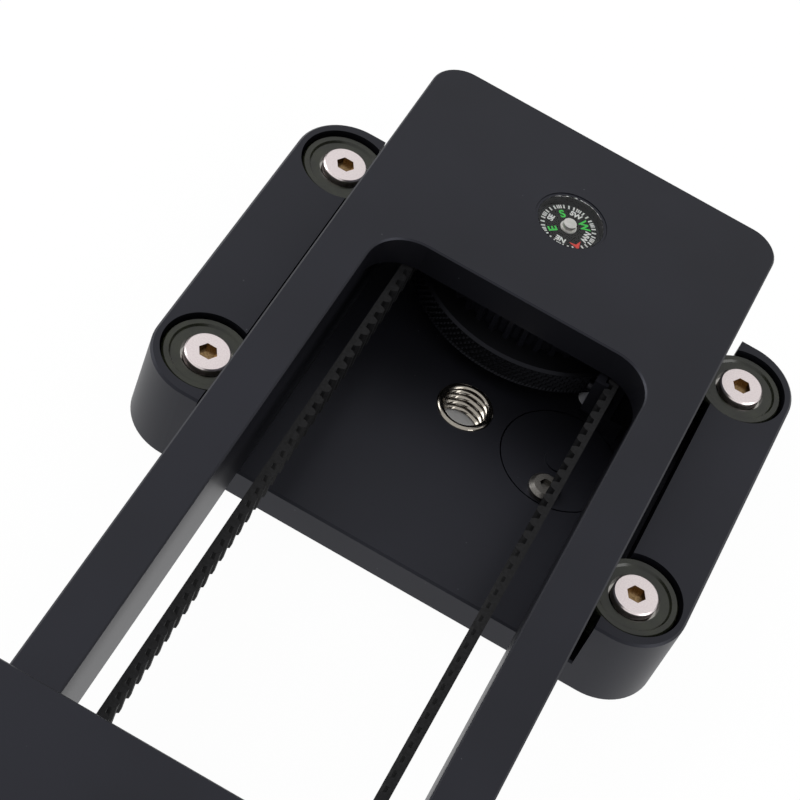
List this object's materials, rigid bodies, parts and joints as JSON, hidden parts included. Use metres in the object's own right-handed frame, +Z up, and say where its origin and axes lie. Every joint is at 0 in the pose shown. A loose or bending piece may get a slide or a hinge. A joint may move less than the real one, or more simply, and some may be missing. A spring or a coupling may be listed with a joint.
{
  "type": "camera slider",
  "caption": "compact belt-coupled camera slider with a tripod carriage, a windowed frame on side rollers, a camera platform, knurled thumb wheels and an inset compass",
  "frame": {"origin": "mouth of the tripod thread, at the middle of the carriage's underside", "axes": "+Z up, away from the tripod; +Y along the travel, towards the end with the compass; +X to the right"},
  "size_m": [0.1, 0.2558, 0.0428],
  "materials": {
    "black_anodised_aluminium": "fine bead blasted, black anodised",
    "stainless_steel": "turned, bright",
    "black_acetal": "fine turned",
    "polyurethane_belt": "matte, moulded",
    "rubber_pad": "matte",
    "compass_card_plastic": "printed card",
    "clear_lens": "clear acrylic",
    "bearing_steel": "ground"
  },
  "bodies": {
    "platform": {"camera_stud": "stainless_steel", "platform_bearing_inner_rings": "bearing_steel", "platform_belt_clamp": "black_anodised_aluminium", "platform_block": "black_anodised_aluminium", "platform_clamp_jaw": "black_anodised_aluminium", "platform_clamp_screws": "stainless_steel", "platform_pad": "rubber_pad", "platform_roller_bolts": "stainless_steel", "platform_roller_washers": "stainless_steel"},
    "carriage_roller_far_left": {"carriage_bearing_far_left": "bearing_steel", "carriage_roller_far_left": "black_acetal"},
    "carriage_roller_far_right": {"carriage_bearing_far_right": "bearing_steel", "carriage_roller_far_right": "black_acetal"},
    "carriage": {"carriage_bearing_inner_rings": "bearing_steel", "carriage_belt_clamp": "black_anodised_aluminium", "carriage_block": "black_anodised_aluminium", "carriage_clamp_jaw": "black_anodised_aluminium", "carriage_clamp_screws": "stainless_steel", "carriage_roller_bolts": "stainless_steel", "carriage_roller_washers": "stainless_steel", "floor_cap": "black_anodised_aluminium", "floor_cap_screw": "stainless_steel", "tripod_thread_insert": "stainless_steel"},
    "carriage_roller_near_left": {"carriage_bearing_near_left": "bearing_steel", "carriage_roller_near_left": "black_acetal"},
    "carriage_roller_near_right": {"carriage_bearing_near_right": "bearing_steel", "carriage_roller_near_right": "black_acetal"},
    "compass_card": {"compass_card": "compass_card_plastic"},
    "frame": {"compass_case": "black_anodised_aluminium", "compass_lens": "clear_lens", "compass_pin": "stainless_steel", "far_axle": "stainless_steel", "far_axle_rings": "bearing_steel", "far_axle_spacer": "stainless_steel", "near_axle": "stainless_steel", "near_axle_rings": "bearing_steel", "near_axle_spacer": "stainless_steel", "slider_frame": "black_anodised_aluminium", "toothed_belt": "polyurethane_belt"},
    "far_thumbwheel_unit": {"far_pulley": "black_anodised_aluminium", "far_pulley_bearings": "bearing_steel", "far_thumbwheel": "black_anodised_aluminium", "far_thumbwheel_screws": "stainless_steel"},
    "near_thumbwheel_unit": {"near_pulley": "black_anodised_aluminium", "near_pulley_bearings": "bearing_steel", "near_thumbwheel": "black_anodised_aluminium", "near_thumbwheel_screws": "stainless_steel"},
    "platform_roller_far_left": {"platform_bearing_far_left": "bearing_steel", "platform_roller_far_left": "black_acetal"},
    "platform_roller_far_right": {"platform_bearing_far_right": "bearing_steel", "platform_roller_far_right": "black_acetal"},
    "platform_roller_near_left": {"platform_bearing_near_left": "bearing_steel", "platform_roller_near_left": "black_acetal"},
    "platform_roller_near_right": {"platform_bearing_near_right": "bearing_steel", "platform_roller_near_right": "black_acetal"}
  },
  "joints": [
    {"name": "frame_slide", "type": "slide", "parent": "carriage", "child": "frame", "axis": [0, 1, 0], "range_m": [0, 0.144], "deforming": ["toothed_belt"]},
    {"name": "platform_slide", "type": "slide", "parent": "frame", "child": "platform", "axis": [0, 1, 0], "range_m": [0, 0.144]},
    {"name": "compass_swing", "type": "hinge", "parent": "frame", "child": "compass_card", "pos_m": [0, 0.0315, 0.0265], "axis": [0, 0, 1], "continuous": true},
    {"name": "far_pulley_turn", "type": "hinge", "parent": "frame", "child": "far_thumbwheel_unit", "pos_m": [0, 0.0315, 0.015], "axis": [0, 0, 1], "range_deg": [-394, 0]},
    {"name": "near_pulley_turn", "type": "hinge", "parent": "frame", "child": "near_thumbwheel_unit", "pos_m": [0, -0.1755, 0.015], "axis": [0, 0, 1], "range_deg": [-394, 0]},
    {"name": "carriage_roller_far_left_turn", "type": "hinge", "parent": "carriage", "child": "carriage_roller_far_left", "pos_m": [-0.0405, 0.0267, 0.0134], "axis": [0, 0, 1], "range_deg": [0, 1074]},
    {"name": "carriage_roller_far_right_turn", "type": "hinge", "parent": "carriage", "child": "carriage_roller_far_right", "pos_m": [0.0405, 0.0267, 0.0134], "axis": [0, 0, 1], "range_deg": [-1074, 0]},
    {"name": "carriage_roller_near_left_turn", "type": "hinge", "parent": "carriage", "child": "carriage_roller_near_left", "pos_m": [-0.0405, -0.0267, 0.0134], "axis": [0, 0, 1], "range_deg": [0, 1074]},
    {"name": "carriage_roller_near_right_turn", "type": "hinge", "parent": "carriage", "child": "carriage_roller_near_right", "pos_m": [0.0405, -0.0267, 0.0134], "axis": [0, 0, 1], "range_deg": [-1074, 0]},
    {"name": "platform_roller_far_left_turn", "type": "hinge", "parent": "platform", "child": "platform_roller_far_left", "pos_m": [-0.0405, -0.1173, 0.0225], "axis": [0, 0, 1], "range_deg": [-1074, 0]},
    {"name": "platform_roller_far_right_turn", "type": "hinge", "parent": "platform", "child": "platform_roller_far_right", "pos_m": [0.0405, -0.1173, 0.0225], "axis": [0, 0, 1], "range_deg": [0, 1074]},
    {"name": "platform_roller_near_left_turn", "type": "hinge", "parent": "platform", "child": "platform_roller_near_left", "pos_m": [-0.0405, -0.1707, 0.0225], "axis": [0, 0, 1], "range_deg": [-1074, 0]},
    {"name": "platform_roller_near_right_turn", "type": "hinge", "parent": "platform", "child": "platform_roller_near_right", "pos_m": [0.0405, -0.1707, 0.0225], "axis": [0, 0, 1], "range_deg": [0, 1074]}
  ],
  "couplings": [
    {"joint": "platform_slide", "follows": "frame_slide", "ratio": 1},
    {"joint": "far_pulley_turn", "follows": "frame_slide", "rad_per_m": -47.6},
    {"joint": "near_pulley_turn", "follows": "frame_slide", "rad_per_m": -47.6},
    {"joint": "carriage_roller_far_left_turn", "follows": "frame_slide", "rad_per_m": 129.87},
    {"joint": "carriage_roller_far_right_turn", "follows": "frame_slide", "rad_per_m": -129.87},
    {"joint": "carriage_roller_near_left_turn", "follows": "frame_slide", "rad_per_m": 129.87},
    {"joint": "carriage_roller_near_right_turn", "follows": "frame_slide", "rad_per_m": -129.87},
    {"joint": "platform_roller_far_left_turn", "follows": "frame_slide", "rad_per_m": -129.87},
    {"joint": "platform_roller_far_right_turn", "follows": "frame_slide", "rad_per_m": 129.87},
    {"joint": "platform_roller_near_left_turn", "follows": "frame_slide", "rad_per_m": -129.87},
    {"joint": "platform_roller_near_right_turn", "follows": "frame_slide", "rad_per_m": 129.87}
  ]
}
